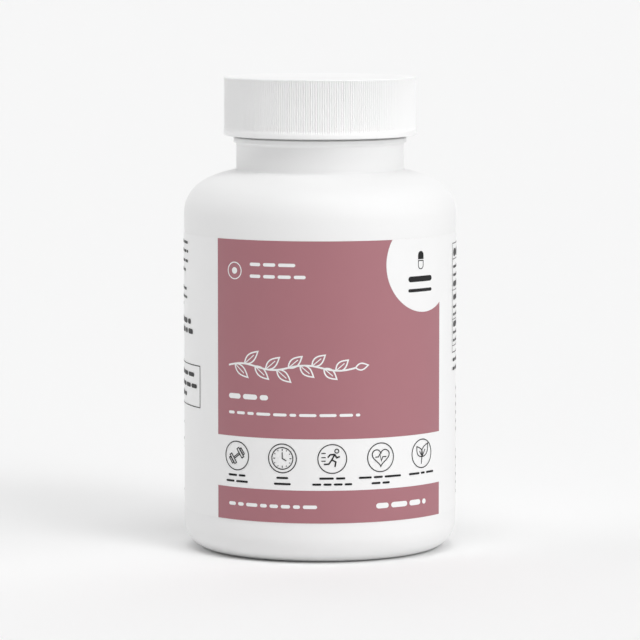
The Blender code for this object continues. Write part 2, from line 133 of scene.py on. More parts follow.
CAP_THREAD_MARGIN = 0.0014      # from the bottom of the skirt to the middle of the lower end

# --- Capsules ---
CAPSULE_CAP_RADIUS = 0.00382
CAPSULE_BODY_RADIUS = 0.00367
CAPSULE_CAP_LENGTH = 0.0107
CAPSULE_LIP = 0.00012           # height of the bevelled edge of the wider half

# --- Seals ---
SEAL_EDGE = 0.00008
LINER_EDGE = 0.0002

# --- Label ---
PAPER_THICKNESS = 0.00012
INK_STEP = 0.00002              # each ink lies this far outside the one below it
SEAM_OVERLAP = 3                # degrees
LAYERS = {"paper": 0, "mauve": 1, "white": 2, "dark": 3}
WRAP_STEP = 1.5                 # degrees between the cuts that let flat artwork bend round the bottle
CUT_MERGE = 1e-8                # a cut takes a corner this near to it as its own

# --- Artwork, in millimetres along the label from its middle, and up from the foot ---
PANEL_LEFT, PANEL_RIGHT = -24.3, 30.7
STRIP_BOTTOM, STRIP_TOP = 15.85, 26.75
MARGIN = -21.0
ICON_X = (-18.9, -8.06, 2.6, 13.3, 24.4)
ICON_Z = 22.6
ICON_RADIUS = 3.05
ICON_LINE = 0.21
CAPTION_TOP = 18.45             # middle of a caption's first row
CAPTION_STEP = 1.28
CAPTION_BAR = 0.44
CAPTION_GAP = 0.45
BADGE_X, BADGE_Z, BADGE_RADIUS = 24.95, 63.2, 10.4
WORD_LENGTHS = (1.6, 4.4)       # shortest and longest bar, before the height of the line is counted
WORD_REST = 1.2                 # a rest of a line that is shorter than this joins the last bar
WORD_GAP = 0.5
WIDE_GAP = 0.6
SPRIG_LINE = 0.3
SPRIG_STEM = 0.38
SPRIG_VEIN = 0.2
LEAF_LEAN = 0.85                # below 1, a leaf is widest nearer its stalk
BOX_LINE = 0.2
TABLE_LINE = 0.18
RULE_LINE = 0.14
PRINT_SEED = 11

# --- Surfaces ---
ROUGHNESS_SPREAD = 0.12         # share of the roughness by which the grain moves it either way
BUMP_STRENGTH = 0.5
DRIFT_DETAIL = 2.0
GRAIN_DETAIL = 4.0
MAUVE = (0.390, 0.158, 0.184)
PRINT_WHITE = (0.885, 0.885, 0.885)

# --- Fineness ---
BODY_STEPS = 240
SMALL_STEPS = 96
CAPSULE_STEPS = 20
THREAD_STEP_ANGLE = 3           # degrees
POINT_SIZE = 1e-9               # a ring smaller than this becomes a single point

# --- Camera, floor and light ---
CAMERA_PLACE = (0.0, -0.88972, 0.13468)
CAMERA_PITCH = 5.491            # degrees below the horizon
CAMERA_LENS = 231.89
FLOOR_SIZE = 60.0
FLOOR_COLOR = 0.90
CAMERA_REACH = 200.0
SKY_LEVEL = 0.21
HORIZON_LEVEL = 0.93            # as bright as the lit floor, so that the two meet without a line
HORIZON_BAND = (2, 7)           # degrees above the horizon between which the sky fades
# name, degrees round from the front towards +X, degrees up, strength, degrees wide
LAMPS = (("key", 60, 25, 1.12, 75), ("front", 40, 38, 0.53, 20), ("top", 0, 70, 1.05, 34),
         ("fill", -90, 45, 0.33, 34), ("side", -120, 18, 0.41, 34), ("back", 180, 30, 0.83, 75))


# --- Meshes ---

def arc(center_r, center_z, radius, start, end, count):
    """Points (r, z) on an arc, from angle start to angle end in degrees, both ends included."""
    angles = [math.radians(start + (end - start) * i / count) for i in range(count + 1)]
    return [(center_r + radius * math.cos(a), center_z + radius * math.sin(a)) for a in angles]


def rounded(corners, steps=5):
    """The profile through the corners (r, z, rounding). A corner that has a rounding becomes an arc."""
    points = [Vector(corners[0][:2])]
    for before, corner, after in zip(corners, corners[1:], corners[2:]):
        here = Vector(corner[:2])
        if not corner[2]:
            points.append(here)
            continue
        back = (Vector(before[:2]) - here).normalized()
        on = (Vector(after[:2]) - here).normalized()
        half = back.angle(on) / 2
        middle = here + (back + on).normalized() * corner[2] / math.sin(half)
        first = here + back * corner[2] / math.tan(half) - middle
        last = here + on * corner[2] / math.tan(half) - middle
        for i in range(steps + 1):
            turned = first.lerp(last, i / steps).normalized() * corner[2]
            points.append(middle + turned)
    points.append(Vector(corners[-1][:2]))
    return [tuple(point) for point in points]


def new_piece(name, mesh, material, body, smooth_angle=32):
    """Puts a mesh in the scene as a piece that rides on a body and takes its finish from a slot."""
    piece = bpy.data.objects.new(name, mesh)
    bpy.context.scene.collection.objects.link(piece)
    mesh.materials.clear()
    mesh.materials.append(material)
    mesh.shade_smooth()
    mesh.set_sharp_from_angle(angle=math.radians(smooth_angle))
    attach(piece, body)
    return piece


def loft(name, rings, close_ends):
    """A mesh through rings of equal length. A ring whose points coincide becomes a single point."""
    bm = bmesh.new()
    rows = []
    for ring in rings:
        if np.ptp(ring, axis=0).max() < POINT_SIZE:
            rows.append([bm.verts.new(ring[0])] * len(ring))
        else:
            rows.append([bm.verts.new(point) for point in ring])
    for low, high in zip(rows, rows[1:]):
        for i in range(len(low)):
            j = (i + 1) % len(low)
            corners = [low[i], low[j], high[j], high[i]]
            unique = list(dict.fromkeys(corners))
            if len(unique) > 2:
                bm.faces.new(unique)
    if close_ends:
        bm.faces.new(rows[0])
        bm.faces.new(rows[-1])
    bmesh.ops.recalc_face_normals(bm, faces=bm.faces)
    mesh = bpy.data.meshes.new(name)
    bm.to_mesh(mesh)
    bm.free()
    return mesh


def turned(name, profile, steps):
    """A solid of revolution through a profile that starts and ends on the axis."""
    angles = np.arange(steps) * 2 * math.pi / steps
    rings = []
    for r, z in profile:
        ring = np.column_stack([r * np.cos(angles), r * np.sin(angles), np.full(steps, z)])
        rings.append(ring)
    return loft(name, rings, False)


def helical_ridge(name, wall, crest, root_width, crest_width, low_z, turns, start):
    """A thread's ridge, rounded over its crest, whose ends fade into the wall."""
    buried = wall - math.copysign(THREAD_BURIED, crest - wall)
    edge = crest_width / 3
    section = rounded([(buried, -root_width / 2, 0), (crest, -crest_width / 2, edge),
                       (crest, crest_width / 2, edge), (buried, root_width / 2, 0)], 3)
    count = round(turns * 360 / THREAD_STEP_ANGLE)
    rings = []
    for i in range(count + 1):
        turn = turns * i / count
        fade = min(1.0, min(turn, turns - turn) / THREAD_RUNOUT)
        fade = THREAD_END + (1 - THREAD_END) * math.sin(fade * math.pi / 2)
        angle = math.radians(start) + turn * 2 * math.pi
        height = low_z + turn * THREAD_PITCH
        ring = []
        for r, z in section:
            radius = buried + (r - buried) * fade
            ring.append((radius * math.cos(angle), radius * math.sin(angle), height + z))
        rings.append(np.array(ring))
    return loft(name, rings, True)


# --- Materials ---

def mix_node(tree, kind, factor, first, second):
    mix = tree.nodes.new("ShaderNodeMix")
    mix.data_type = kind
    ending = "Color" if kind == "RGBA" else "Float"
    sockets = {socket.identifier: socket for socket in [*mix.inputs, *mix.outputs]}
    sockets["A_" + ending].default_value = first
    sockets["B_" + ending].default_value = second
    tree.links.new(factor, sockets["Factor_Float"])
    return sockets["Result_" + ending]


def noise_node(tree, place, scale, detail):
    """Noise whose size is about 1 / scale metres."""
    noise = tree.nodes.new("ShaderNodeTexNoise")
    noise.inputs["Scale"].default_value = scale
    noise.inputs["Detail"].default_value = detail
    tree.links.new(place, noise.inputs["Vector"])
    return noise.outputs["Fac"]


def finish(name, color, shade, roughness, drift_scale, grain_scale, relief, metallic=0.0, specular=0.5,
           coat=0.0, cells=False):
    """A surface whose colour drifts between two shades, and whose sheen and relief follow a grain."""
    material = bpy.data.materials.new(name)
    material.use_nodes = True
    tree = material.node_tree
    shader = tree.nodes["Principled BSDF"]
    place = tree.nodes.new("ShaderNodeTexCoord").outputs["Object"]
    drift = noise_node(tree, place, drift_scale, DRIFT_DETAIL)
    if cells:
        voronoi = tree.nodes.new("ShaderNodeTexVoronoi")
        voronoi.inputs["Scale"].default_value = grain_scale
        tree.links.new(place, voronoi.inputs["Vector"])
        grain = voronoi.outputs["Distance"]
    else:
        grain = noise_node(tree, place, grain_scale, GRAIN_DETAIL)
    darker = tuple(value * shade for value in color)
    tint = mix_node(tree, "RGBA", drift, (*darker, 1.0), (*color, 1.0))
    tree.links.new(tint, shader.inputs["Base Color"])
    spread = ROUGHNESS_SPREAD * roughness
    rough = mix_node(tree, "FLOAT", grain, roughness - spread, roughness + spread)
    tree.links.new(rough, shader.inputs["Roughness"])
    bump = tree.nodes.new("ShaderNodeBump")
    bump.inputs["Strength"].default_value = BUMP_STRENGTH
    bump.inputs["Distance"].default_value = relief
    tree.links.new(grain, bump.inputs["Height"])
    tree.links.new(bump.outputs["Normal"], shader.inputs["Normal"])
    shader.inputs["Metallic"].default_value = metallic
    shader.inputs["Specular IOR Level"].default_value = specular
    shader.inputs["Coat Weight"].default_value = coat
    return material


def make_materials():
    """Each finish: colour, darker share, roughness, scales of the drift and the grain, and its relief."""
    return {
        "bottle": finish("bottle_hdpe", (0.875, 0.875, 0.875), 0.985, 0.52, 60, 900, 0.000012,
                         specular=0.35),
        "cap": finish("cap_polypropylene", (0.92, 0.92, 0.92), 0.985, 0.42, 90, 1500, 0.000008),
        "paper": finish("label_coated_paper", PRINT_WHITE, 0.985, 0.42, 150, 2600, 0.000004),
        "mauve": finish("ink_mauve", MAUVE, 0.97, 0.44, 220, 2600, 0.000004),
        "white": finish("ink_white", PRINT_WHITE, 0.975, 0.44, 220, 2600, 0.000003),
        "dark": finish("ink_dark_grey", (0.014, 0.014, 0.015), 0.85, 0.44, 400, 2600, 0.000003,
                       specular=0.2),
        "foil": finish("seal_foil_embossed", (0.82, 0.83, 0.84), 0.96, 0.26, 120, 1400, 0.00003,
                       metallic=1.0, cells=True),
        "foam": finish("liner_foam_cells", (0.85, 0.85, 0.83), 0.94, 0.8, 200, 2200, 0.00004,
                       cells=True),
        "canister": finish("canister_plastic", (0.84, 0.85, 0.86), 0.97, 0.5, 200, 1800, 0.00001),
        "capsule": finish("capsule_gelatine", (0.33, 0.045, 0.07), 0.8, 0.22, 500, 2400, 0.000004,
                          coat=0.6),
    }


# --- Bottle ---

def shoulder(inset, neck):
    """The two arcs of the shoulder, from the straight side up to the neck."""
    turn = math.radians(SHOULDER_TURN)
    center_r = BODY_RADIUS - SHOULDER_RADIUS
    top_r = center_r - (SHOULDER_TOP_RADIUS - SHOULDER_RADIUS) * math.cos(turn)
    top_z = STRAIGHT_TOP - (SHOULDER_TOP_RADIUS - SHOULDER_RADIUS) * math.sin(turn)
    radius = SHOULDER_TOP_RADIUS - inset
    end = math.degrees(math.acos((neck - top_r) / radius))
    lower = arc(center_r, STRAIGHT_TOP, SHOULDER_RADIUS - inset, 0, SHOULDER_TURN, 16)
    return lower + arc(top_r, top_z, radius, SHOULDER_TURN, end, 12)[1:]


def bottle_profile():
    """From the middle of the inside floor up the bore, over the lip and down the outside to the base."""
    bore = BODY_RADIUS - SIDE_WALL
    neck_bore = FINISH_ROOT - FINISH_WALL
    foot_outer = BODY_RADIUS - HEEL_RADIUS
    foot_inner = foot_outer - FOOT_WIDTH
    step_r = foot_inner - PUSH_UP_STEP
    bead = NECK_RADIUS + BEAD_DEPTH
    bead_bottom = BEAD_TOP - BEAD_HEIGHT
    panel = BODY_RADIUS - PANEL_DEPTH
    panel_top = LABEL_TOP + PANEL_MARGIN
    panel_bottom = LABEL_BOTTOM - PANEL_MARGIN
    inside = shoulder(SIDE_WALL, neck_bore)
    outside = shoulder(0.0, NECK_RADIUS)
    corners = [(0, PUSH_UP + BASE_WALL, 0), (step_r, PUSH_UP_STEP + BASE_WALL, INNER_FLOOR_ROUND),
               (foot_inner, BASE_WALL, INNER_FLOOR_ROUND), (bore, BASE_WALL, HEEL_BORE_RADIUS)]
    corners += [(r, z, 0) for r, z in inside[:-1]]
    corners += [(*inside[-1], INNER_NECK_ROUND), (neck_bore, LIP_Z, LIP_ROUND),
                (FINISH_ROOT, LIP_Z, LIP_ROUND), (FINISH_ROOT, BEAD_TOP, BEAD_FILLET),
                (bead, BEAD_TOP, BEAD_ROUND), (bead, bead_bottom + BEAD_ROUND, BEAD_ROUND),
                (NECK_RADIUS, bead_bottom, NECK_FILLET), (*outside[-1], NECK_FILLET)]
    corners += [(r, z, 0) for r, z in reversed(outside[:-1])]
    corners += [(BODY_RADIUS, panel_top + PANEL_EDGE_SLOPE, 0), (panel, panel_top, 0),
                (panel, panel_bottom, 0), (BODY_RADIUS, panel_bottom - PANEL_EDGE_SLOPE, 0)]
    corners += [(r, z, 0) for r, z in arc(foot_outer, HEEL_RADIUS, HEEL_RADIUS, 0, -90, 20)]
    corners += [(foot_inner, 0, FOOT_ROUND), (step_r, PUSH_UP_STEP, PUSH_UP_ROUND), (0, PUSH_UP, 0)]
    return rounded(corners)


def build_bottle(materials):
    shell = new_piece("bottle_shell", turned("bottle_shell", bottle_profile(), BODY_STEPS),
                      materials["bottle"], "bottle")
    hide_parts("bottle")
    low_z = LIP_Z - THREAD_TOP_MARGIN - THREAD_TURNS * THREAD_PITCH
    ridge = helical_ridge("bottle_thread", FINISH_ROOT, THREAD_CREST, THREAD_ROOT_WIDTH, THREAD_CREST_WIDTH,
                          low_z, THREAD_TURNS, THREAD_START)
    new_piece("bottle_thread", ridge, materials["bottle"], "bottle")
    return low_z


# --- Cap ---

def cap_rows():
    """Rows (radius, height, how far the ribs show) from the middle of the top round to its inside."""
    band = CAP_RADIUS - CAP_RIM_STEP
    crest = band - RIB_INSET
    foot = CAP_BOTTOM + RIB_FOOT
    rim_top = CAP_BOTTOM + CAP_RIM_HEIGHT
    crown = CAP_TOP - CAP_CROWN_HEIGHT
    inner_top = CAP_TOP - CAP_TOP_WALL
    rows = [(0, CAP_TOP, 0)]
    rows += [(r, z, 0) for r, z in arc(band - CAP_EDGE, CAP_TOP - CAP_EDGE, CAP_EDGE, 90, 0, 6)]
    rows += [(band, crown, 0), (crest, crown - RIB_TOP_END / 3, RIB_AT_CROWN),
             (crest, crown - RIB_TOP_END, 1), (crest, foot + RIB_FOOT_END, 1), (crest, rim_top, RIB_AT_RIM),
             (CAP_RADIUS, rim_top - CAP_RIM_STEP, RIB_ON_RIM), (CAP_RADIUS, foot, 0)]
    rows += [(r, z, 0) for r, z in arc(CAP_RADIUS - CAP_EDGE, CAP_BOTTOM + CAP_EDGE, CAP_EDGE, 0, -90, 5)]
    rows += [(CAP_BORE + CAP_EDGE, CAP_BOTTOM, 0), (CAP_BORE, CAP_BOTTOM + CAP_EDGE, 0),
             (CAP_BORE, inner_top, 0), (0, inner_top, 0)]
    return rows


def cap_mesh():
    """The cap turned with a whole number of columns to each rib, so that every rib has the same shape."""
    columns = RIB_COUNT * RIB_COLUMNS
    angles = np.arange(columns) * 2 * math.pi / columns
    valley = RIB_DEPTH * (0.5 - 0.5 * np.cos(angles * RIB_COUNT)) ** RIB_SHARPNESS
    rings = []
    for r, z, ribbed in cap_rows():
        radius = r - valley * ribbed
        ring = np.column_stack([radius * np.cos(angles), radius * np.sin(angles), np.full(columns, z)])
        rings.append(ring)
    return loft("cap_shell", rings, False)


def build_cap(materials, bottle_thread_z):
    shell = new_piece("cap_shell", cap_mesh(), materials["cap"], "cap", smooth_angle=50)
    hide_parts("screw_cap")
    low_z = CAP_BOTTOM + CAP_THREAD_MARGIN
    start = THREAD_START + (low_z + CAP_THREAD_DROP - bottle_thread_z) / THREAD_PITCH * 360
    ridge = helical_ridge("cap_thread", CAP_BORE, CAP_THREAD_CREST, CAP_THREAD_ROOT_WIDTH,
                          CAP_THREAD_CREST_WIDTH, low_z, CAP_THREAD_TURNS, start)
    new_piece("cap_thread", ridge, materials["cap"], "cap")


# --- Label print ---

class Ink:
    """Flat artwork in one ink. Shapes are added in millimetres, and wrap() lays them on the label."""

    def __init__(self, name, layer, material):
        self.name = name
        self.radius = LABEL_RADIUS - INK_STEP * (max(LAYERS.values()) - LAYERS[layer])
        self.material = material
        self.bm = bmesh.new()

    def shape(self, outline):
        self.bm.faces.new([self.bm.verts.new((x * MM, 0.0, z * MM)) for x, z in outline])

    def box(self, left, bottom, right, top):
        self.shape([(left, bottom), (right, bottom), (right, top), (left, top)])

    def bar(self, left, right, middle, height):
        """A bar with rounded ends."""
        radius = min(height, right - left) / 2
        right_end = arc(right - radius, middle, radius, -90, 90, 6)
        left_end = arc(left + radius, middle, radius, 90, 270, 6)
        self.shape(right_end + left_end)

    def disc(self, x, z, radius, count=32):
        self.shape(arc(x, z, radius, 0, 360, count)[:-1])

    def stroke(self, points, width, closed=False):
        """A line of even width through the points."""
        path = [Vector(point) for point in points]
        count = len(path)
        sides = []
        for i, here in enumerate(path):
            before = path[i - 1] if closed or i else here
            after = path[(i + 1) % count] if closed or i < count - 1 else here
            back = (here - before if here != before else after - here).normalized()
            on = (after - here if after != here else here - before).normalized()
            across = Vector((-(back + on).y, (back + on).x)).normalized()
            stretch = 1 / max(0.5, across.dot(Vector((-on.y, on.x))))
            half = across * stretch * width / 2
            sides.append((here + half, here - half))
        if closed:
            sides.append(sides[0])
        for (left, right), (next_left, next_right) in zip(sides, sides[1:]):
            self.shape([right, next_right, next_left, left])

    def ring(self, x, z, radius, width, count=48):
        self.stroke(arc(x, z, radius, 0, 360, count)[:-1], width, closed=True)

    def words(self, draw, left, right, middle, height, gap=WORD_GAP):
        """A line of text as plain bars, longer where the line is higher, without any letters."""
        while right - left > height:
            length = draw.uniform(*WORD_LENGTHS) * (0.6 + 0.4 * height)
            end = min(left + length, right)
            if right - end < WORD_REST:
                end = right
            self.bar(left, end, middle, height)
            left = end + gap

    def wrap(self):
        """Cuts the artwork into narrow strips, bends it round the label and puts it in the scene."""
        bm = self.bm
        bmesh.ops.triangulate(bm, faces=bm.faces)
        step = math.radians(WRAP_STEP) * self.radius
        reach = math.floor(math.pi * self.radius / step)
        for i in range(-reach, reach + 1):
            geometry = [*bm.verts, *bm.edges, *bm.faces]
            bmesh.ops.bisect_plane(bm, geom=geometry, dist=CUT_MERGE, plane_co=(i * step, 0, 0),
                                   plane_no=(1, 0, 0))
        bmesh.ops.reverse_faces(bm, faces=[face for face in bm.faces if face.normal.y > 0])
        normals = []
        for vertex in bm.verts:
            angle = vertex.co.x / self.radius
            out = Vector((math.sin(angle), -math.cos(angle), 0.0))
            vertex.co = Vector((0, 0, vertex.co.z)) + out * self.radius
            normals.append(out)
        mesh = bpy.data.meshes.new(self.name)
        bm.to_mesh(mesh)
        bm.free()
        new_piece(self.name, mesh, self.material, "bottle")
        mesh.normals_split_custom_set_from_vertices(normals)


def leaf(x, z, length, width, angle, count=12):
    """The outline of a pointed leaf whose stalk is at (x, z)."""
    turn = math.radians(angle)
    along = Vector((math.cos(turn), math.sin(turn)))
    across = Vector((-along.y, along.x))
    outline = []
    for side in (1, -1):
        for i in range(count):
            t = i / count if side > 0 else 1 - i / count
            bulge = width / 2 * math.sin(math.pi * t ** LEAF_LEAN) * side
            outline.append(Vector((x, z)) + along * length * t + across * bulge)
    return outline


def draw_sprig(ink):
    """A sprig of ten leaves and an end leaf, in thin lines, along the place of the title."""
    left, right, middle, swing = MARGIN, 7.6, 41.8, 0.55
    steps = 60

    def stem(t):
        return left + (right - left) * t, middle + swing * math.sin(t * 4 * math.pi)

    ink.stroke([stem(i / steps) for i in range(steps + 1)], SPRIG_STEM)
    for i in range(10):
        t = 0.06 + 0.088 * i
        x, z = stem(t)
        side = 1 if i % 2 else -1
        outline = leaf(x, z, 4.3 - 0.1 * i, 1.75, 40 * side)
        tip = outline[len(outline) // 2]
        ink.stroke(outline, SPRIG_LINE, closed=True)
        ink.stroke([outline[0], outline[0].lerp(tip, 0.7)], SPRIG_VEIN)
    x, z = stem(1)
    ink.stroke(leaf(x, z, 2.8, 1.4, 10), SPRIG_LINE, closed=True)


def draw_dumbbell(ink, x, z):
    turn = math.radians(35)
    along = Vector((math.cos(turn), math.sin(turn)))
    across = Vector((-along.y, along.x))
    middle = Vector((x, z))

    def plate(place, half_width, half_height):
        corners = [(-1, -1), (1, -1), (1, 1), (-1, 1)]
        outline = [middle + along * (place + half_width * i) + across * half_height * j for i, j in corners]
        ink.stroke(outline, ICON_LINE, closed=True)

    for side in (-1, 1):
        plate(side * 1.15, 0.28, 1.15)
        plate(side * 1.72, 0.2, 0.75)
        for offset in (-0.17, 0.17):
            ends = [middle + along * side * 0.86 + across * offset, middle + across * offset]
            ink.stroke(ends, ICON_LINE)


def draw_clock(ink, x, z):
    ink.ring(x, z, 2.3, ICON_LINE, 40)
    for i in range(12):
        angle = math.radians(30 * i)
        start = 1.75 if i % 3 else 1.55
        out = Vector((math.cos(angle), math.sin(angle)))
        ink.stroke([Vector((x, z)) + out * start, Vector((x, z)) + out * 2.0], ICON_LINE * 0.8)
    ink.stroke([(x, z + 1.3), (x, z), (x + 0.9, z - 0.5)], ICON_LINE)


def draw_runner(ink, x, z):
    """A stick figure at a run."""
    line = ICON_LINE * 1.5
    ink.ring(x + 0.95, z + 1.65, 0.42, ICON_LINE, 20)
    ink.stroke([(x + 0.55, z + 1.05), (x - 0.1, z - 0.2)], line)
    ink.stroke([(x + 0.5, z + 0.95), (x - 0.45, z + 0.9), (x - 0.95, z + 0.3)], line)
    ink.stroke([(x + 0.5, z + 0.95), (x + 0.95, z + 0.25), (x + 1.6, z + 0.5)], line)
    ink.stroke([(x - 0.1, z - 0.2), (x + 0.75, z - 0.65), (x + 0.55, z - 1.7)], line)
    ink.stroke([(x - 0.1, z - 0.2), (x - 0.75, z - 1.1), (x - 1.8, z - 1.15)], line)
    for height in (1.2, 0.3, -0.45):
        ink.stroke([(x - 2.3, z + height), (x - 1.4, z + height)], ICON_LINE)


def draw_heart(ink, x, z):
    scale = 0.125
    outline = []
    for i in range(44):
        t = 2 * math.pi * i / 44
        wide = 16 * math.sin(t) ** 3
        high = 13 * math.cos(t) - 5 * math.cos(2 * t) - 2 * math.cos(3 * t) - math.cos(4 * t)
        outline.append((x + wide * scale, z + 0.15 + high * scale))
    ink.stroke(outline, ICON_LINE, closed=True)
    beat = [(-1.3, 0.1), (-0.55, 0.1), (-0.25, 0.75), (0.15, -0.75), (0.45, 0.1), (1.3, 0.1)]
    ink.stroke([(x + i, z + j) for i, j in beat], ICON_LINE)


def draw_leaves(ink, x, z):
    ink.stroke(leaf(x, z - 0.7, 3.3, 1.7, 56), ICON_LINE, closed=True)
    ink.stroke(leaf(x, z - 0.7, 2.8, 1.5, 126), ICON_LINE, closed=True)
    ink.stroke([(x + 0.95, z + 0.85), (x, z - 0.7), (x - 0.15, z - 1.5), (x - 0.25, z - 2.2)], ICON_LINE)
    ink.stroke([(x - 0.8, z + 0.55), (x, z - 0.7)], ICON_LINE)


def draw_icons(ink, draw):
    """Five plain pictograms in rings, each with bars for a caption."""
    pictograms = (draw_dumbbell, draw_clock, draw_runner, draw_heart, draw_leaves)
    captions = ((4.5, 5.7), (2.6, 3.7), (5.5, 8.5), (10.0, 4.3), (7.8,))
    for x, pictogram, widths in zip(ICON_X, pictograms, captions):
        ink.ring(x, ICON_Z, ICON_RADIUS, ICON_LINE)
        pictogram(ink, x, ICON_Z)
        for row, width in enumerate(widths):
            middle = CAPTION_TOP - CAPTION_STEP * row
            ink.words(draw, x - width / 2, x + width / 2, middle, CAPTION_BAR, CAPTION_GAP)


def draw_front(mauve, white, dark, draw):
    """The coloured panel with its plain strip, and all that is printed on the two."""
    mauve.box(PANEL_LEFT, STRIP_TOP, PANEL_RIGHT, LABEL_TOP / MM)
    mauve.box(PANEL_LEFT, LABEL_BOTTOM / MM, PANEL_RIGHT, STRIP_BOTTOM)
    white.ring(-19.4, 61.9, 1.75, 0.22, 40)
    white.disc(-19.4, 61.9, 0.7)
    white.words(draw, -15.5, -5.2, 63.4, 0.72, WIDE_GAP)
    white.words(draw, -15.5, -3.0, 60.9, 0.72, WIDE_GAP)
    draw_sprig(white)
    white.words(draw, MARGIN, -11.2, 35.3, 1.1, WIDE_GAP)
    white.words(draw, MARGIN, 8.6, 31.8, 0.62, WIDE_GAP)
    white.words(draw, MARGIN, -0.6, 12.35, 0.75, WIDE_GAP)
    white.words(draw, 12.2, 25.6, 12.3, 1.15, WIDE_GAP)
    draw_icons(dark, draw)


def draw_badge(white, dark):
    """A white round badge over the panel's corner, with an upright capsule and two bars."""
    top = LABEL_TOP / MM
    outline = [(x, min(z, top)) for x, z in arc(BADGE_X, BADGE_Z, BADGE_RADIUS, 0, 360, 96)[:-1]]
    inside = [point for point in outline if point[1] < top]
    reach = math.sqrt(BADGE_RADIUS ** 2 - (top - BADGE_Z) ** 2)
    start = next(i for i, point in enumerate(outline) if point[1] >= top)
    inside[start:start] = [(BADGE_X + reach, top), (BADGE_X - reach, top)]
    white.shape(inside)
    half = 0.85
    narrow = half - 0.1
    left, right = 20.2, 27.5
    x = (left + right) / 2
    dark.shape(arc(x, 64.95, half, 0, 180, 10) + [(x - half, 64.05), (x + half, 64.05)])
    lower = [(x - narrow, 63.75), *arc(x, 62.75, narrow, 180, 360, 12), (x + narrow, 63.75)]
    dark.stroke(lower, BOX_LINE, closed=True)
    dark.bar(left, right, 59.9, 1.2)
    dark.bar(left, right, 57.5, 0.7)


def draw_left_side(dark, draw):
    """Bars for the directions, and a box of small bars, round the left of the bottle."""
    left = -76.0
    for z, right in ((66.6, -38.2), (64.7, -37.9), (62.6, -38.1), (60.6, -40.5), (56.6, -39.4),
                     (54.8, -38.9), (52.9, -46.0)):
        dark.words(draw, left, right, z, 0.6)
    for z, right in ((49.8, -36.0), (47.7, -34.7)):
        dark.words(draw, -70.0, right, z, 1.1, WIDE_GAP)
    box = [(-76.5, 31.7), (-31.1, 31.7), (-31.1, 40.6), (-76.5, 40.6)]
    dark.stroke(box, BOX_LINE, closed=True)
    for z, right in ((38.5, -34.0), (36.1, -32.6), (33.9, -39.5)):
        dark.words(draw, -74.8, right, z, 0.9)
    for z in (27.0, 25.2, 23.4, 21.6, 19.8, 14.0, 12.2):
        dark.words(draw, left, -44.0 - draw.uniform(0, 6), z, 0.55)


def draw_right_side(dark, draw):
    """A ruled table of bars round the right of the bottle, with lines and a small box under it."""
    left, inner, right = 38.4, 43.5, 77.0
    dark.stroke([(left, 42.9), (right, 42.9), (right, 66.4), (left, 66.4)], TABLE_LINE, closed=True)
    rows = ((64.4, 1.7), (61.3, 0.55), (59.5, 0.55), (57.6, 1.2), (54.7, 1.1), (52.6, 0.55), (51.0, 0.55),
            (48.9, 1.2), (47.1, 0.55), (45.4, 0.55))
    for z, height in rows:
        dark.words(draw, left + 0.9, right - 12.0 - draw.uniform(0, 8), z, height)
        if height < 1.5:
            dark.words(draw, right - 6.5, right - 1.2, z, height * 0.8)
    for z in (63.0, 56.3, 50.0, 44.3):
        dark.stroke([(left, z), (right, z)], RULE_LINE)
    for z in (41.2, 39.3):
        dark.words(draw, left + 0.5, right - draw.uniform(0, 12), z, 0.7)
    for z in (34.6, 32.8, 31.0, 29.2, 27.4, 25.6):
        dark.words(draw, inner, right - draw.uniform(0, 12), z, 0.55)
    dark.stroke([(inner, 12.0), (right, 12.0), (right, 21.0), (inner, 21.0)], TABLE_LINE, closed=True)
    for z in (19.2, 17.4, 15.6, 13.8):
        dark.words(draw, 44.6, 75.8 - draw.uniform(0, 8), z, 0.55)


def paper_mesh():
    """The label wrapped round the bottle, with its last few degrees lying over its start at the back."""
    outer = LABEL_RADIUS - INK_STEP * max(LAYERS.values())
    inner = outer - PAPER_THICKNESS
    section = [(inner, LABEL_BOTTOM), (outer, LABEL_BOTTOM), (outer, LABEL_TOP), (inner, LABEL_TOP)]
    columns = round((360 + SEAM_OVERLAP) / WRAP_STEP)
    rings = []
    for i in range(columns + 1):
        turn = i / columns * (360 + SEAM_OVERLAP)
        angle = math.radians(turn + 90 - SEAM_OVERLAP / 2)
        lift = PAPER_THICKNESS * min(1.0, max(0.0, (turn - 360 + 2 * SEAM_OVERLAP) / SEAM_OVERLAP))
        ring = []
        for r, z in section:
            ring.append(((r + lift) * math.cos(angle), (r + lift) * math.sin(angle), z))
        rings.append(np.array(ring))
    return loft("label_wrap", rings, True)


def build_label(materials):
    paper = new_piece("label_wrap", paper_mesh(), materials["paper"], "bottle")
    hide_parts("label")
    draw = random.Random(PRINT_SEED)
    mauve = Ink("print_mauve", "mauve", materials["mauve"])
    white = Ink("print_white", "white", materials["white"])
    dark = Ink("print_dark", "dark", materials["dark"])
    draw_front(mauve, white, dark, draw)
    draw_badge(white, dark)
    draw_left_side(dark, draw)
    draw_right_side(dark, draw)
    for ink in (mauve, white, dark):
        ink.wrap()


# --- Small pieces ---

def disc_mesh(name, radius, low, high, edge, steps):
    """A flat disc whose edges are rounded."""
    corners = [(0, low, 0), (radius, low, edge), (radius, high, edge), (0, high, 0)]
    return turned(name, rounded(corners, steps), SMALL_STEPS)


def build_seals(materials):
    disc = disc_mesh("seal_disc", SEAL_RADIUS, SEAL_BOTTOM, SEAL_TOP, SEAL_EDGE, 3)
    foil = new_piece("seal_disc", disc, materials["foil"], "bottle")
    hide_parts("induction_seal")
    disc = disc_mesh("liner_disc", LINER_RADIUS, LINER_BOTTOM, LINER_TOP, LINER_EDGE, 4)
    foam = new_piece("liner_disc", disc, materials["foam"], "liner")
    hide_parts("cap_liner")


